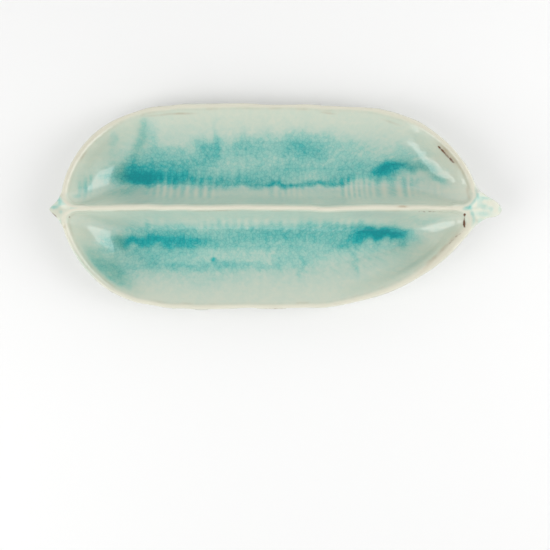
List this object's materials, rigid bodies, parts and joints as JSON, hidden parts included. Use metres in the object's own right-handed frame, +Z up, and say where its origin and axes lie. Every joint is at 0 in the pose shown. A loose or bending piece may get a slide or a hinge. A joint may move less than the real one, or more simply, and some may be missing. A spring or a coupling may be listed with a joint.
{
  "type": "olive dish",
  "caption": "Glazed stoneware serving dish shaped like an opened seed pod, with shallow bowls side by side along a raised rib, a pointed tip and a drooping stem.",
  "frame": {"origin": "middle of the dish's box, on the surface that it stands on", "axes": "+X along the rib to the stem, +Y to the far bowl, +Z up"},
  "size_m": [0.31, 0.144, 0.0395],
  "materials": {
    "bowl_glaze": "glossy celadon glaze that breaks to cream on the rims",
    "crest_glaze": "glossy thin cream glaze with iron-brown breaks",
    "pool_glaze": "glossy thick turquoise glass with fine crackle"
  },
  "bodies": {
    "root": {"near_bowl": "bowl_glaze", "far_bowl": "bowl_glaze", "centre_rib": "crest_glaze", "pod_tip": "crest_glaze", "stem_handle": "crest_glaze", "near_glaze_pool": "pool_glaze", "far_glaze_pool": "pool_glaze"}
  },
  "joints": []
}
